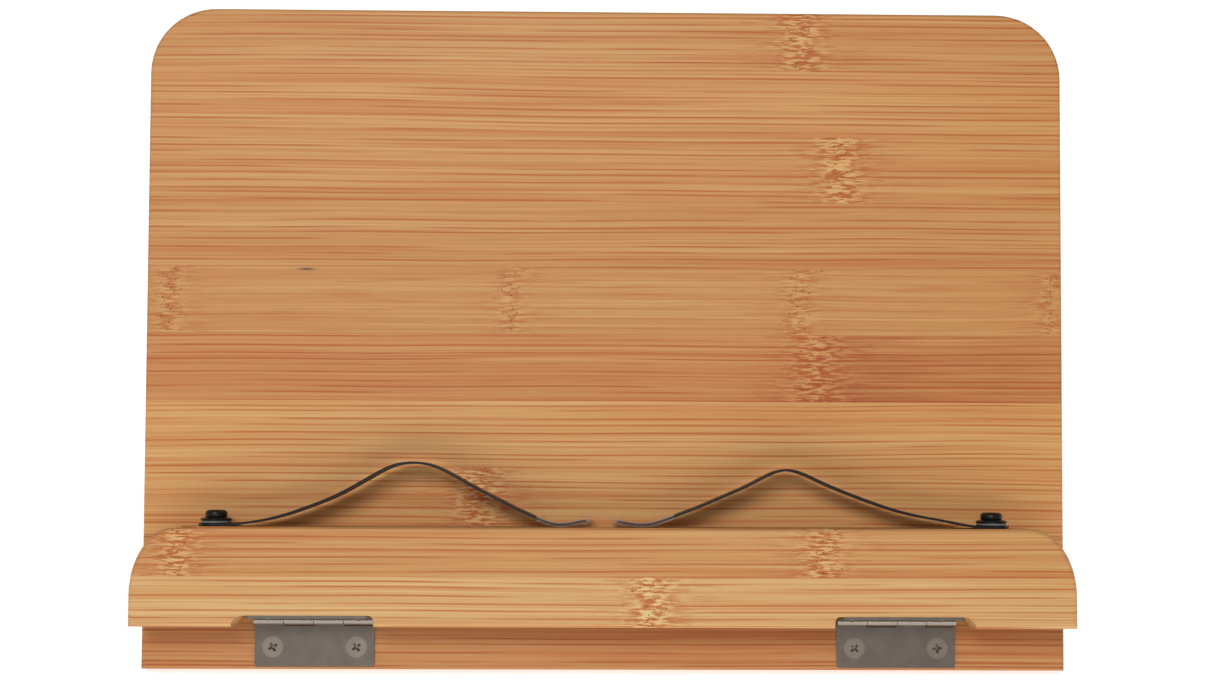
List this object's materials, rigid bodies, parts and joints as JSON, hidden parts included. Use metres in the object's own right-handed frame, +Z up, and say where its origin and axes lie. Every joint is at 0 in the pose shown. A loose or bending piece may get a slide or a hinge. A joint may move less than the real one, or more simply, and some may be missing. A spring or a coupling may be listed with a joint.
{
  "type": "folding reading stand",
  "caption": "Laminated bamboo back board with a hinged ledge folded flat against it, spring page clips, and a fold-out leg frame held open by a wire stay.",
  "frame": {"origin": "on the ground below the middle of the stand's box", "axes": "+X to the right of the board's front, +Y to the back, +Z up, with the board leaning back 35 degrees"},
  "size_m": [0.28, 0.1738, 0.1691],
  "materials": {
    "bamboo_board": "satin lacquered laminated bamboo",
    "bamboo_ledge": "satin lacquered laminated bamboo",
    "bamboo_leg": "satin lacquered laminated bamboo",
    "bamboo_rack": "sanded bamboo",
    "hinge_nickel": "warm grey nickel plated sheet steel",
    "screw_steel": "dull nickel plated",
    "black_spring_steel": "black oxide, satin",
    "black_screw": "black oxide, satin",
    "clear_sleeve": "clear soft plastic",
    "washer_nylon": "translucent grey nylon",
    "wire_steel": "nickel plated wire"
  },
  "bodies": {
    "board": {"back_board": "bamboo_board", "left_ledge_hinge_board_leaf": "hinge_nickel", "left_ledge_hinge_pin": "hinge_nickel", "left_ledge_hinge_board_screws": "screw_steel", "left_leg_hinge_board_leaf": "hinge_nickel", "left_leg_hinge_pin": "hinge_nickel", "left_leg_hinge_board_screws": "screw_steel", "left_angle_rack": "bamboo_rack", "left_rack_screw": "screw_steel", "right_ledge_hinge_board_leaf": "hinge_nickel", "right_ledge_hinge_pin": "hinge_nickel", "right_ledge_hinge_board_screws": "screw_steel", "right_leg_hinge_board_leaf": "hinge_nickel", "right_leg_hinge_pin": "hinge_nickel", "right_leg_hinge_board_screws": "screw_steel", "right_angle_rack": "bamboo_rack", "right_rack_screw": "screw_steel"},
    "ledge": {"ledge": "bamboo_ledge", "left_ledge_hinge_ledge_leaf": "hinge_nickel", "left_ledge_hinge_ledge_screws": "screw_steel", "left_clip_screw": "black_screw", "left_clip_cup_washer": "black_screw", "left_clip_nylon_washer": "washer_nylon", "right_ledge_hinge_ledge_leaf": "hinge_nickel", "right_ledge_hinge_ledge_screws": "screw_steel", "right_clip_screw": "black_screw", "right_clip_cup_washer": "black_screw", "right_clip_nylon_washer": "washer_nylon"},
    "left_clip": {"left_page_clip": "black_spring_steel", "left_clip_sleeve": "clear_sleeve"},
    "right_clip": {"right_page_clip": "black_spring_steel", "right_clip_sleeve": "clear_sleeve"},
    "leg": {"leg_left_stile": "bamboo_leg", "leg_right_stile": "bamboo_leg", "leg_top_rail": "bamboo_leg", "leg_bottom_rail": "bamboo_leg", "left_leg_hinge_leg_leaf": "hinge_nickel", "left_leg_hinge_leg_screws": "screw_steel", "right_leg_hinge_leg_leaf": "hinge_nickel", "right_leg_hinge_leg_screws": "screw_steel"},
    "stay": {"support_stay": "wire_steel"}
  },
  "joints": [
    {"name": "ledge_fold", "type": "hinge", "parent": "board", "child": "ledge", "pos_m": [0, -0.07513, 0.01799], "axis": [1, 0, 0], "range_deg": [0, 90]},
    {"name": "left_clip_swivel", "type": "hinge", "parent": "ledge", "child": "left_clip", "pos_m": [-0.116, -0.06404, 0.04465], "axis": [0, -0.5736, -0.8192], "range_deg": [0, 180]},
    {"name": "right_clip_swivel", "type": "hinge", "parent": "ledge", "child": "right_clip", "pos_m": [0.116, -0.06404, 0.04465], "axis": [0, 0.5736, 0.8192], "range_deg": [0, 180]},
    {"name": "leg_fold", "type": "hinge", "parent": "board", "child": "leg", "pos_m": [0, 0.00655, 0.11303], "axis": [1, 0, 0], "range_deg": [-68.09, 0]},
    {"name": "stay_swing", "type": "hinge", "parent": "leg", "child": "stay", "pos_m": [0, 0.02897, 0.08586], "axis": [1, 0, 0], "range_deg": [0, 93.2]}
  ],
  "couplings": [
    {"joint": "stay_swing", "follows": "leg_fold", "ratio": -1.3684}
  ]
}
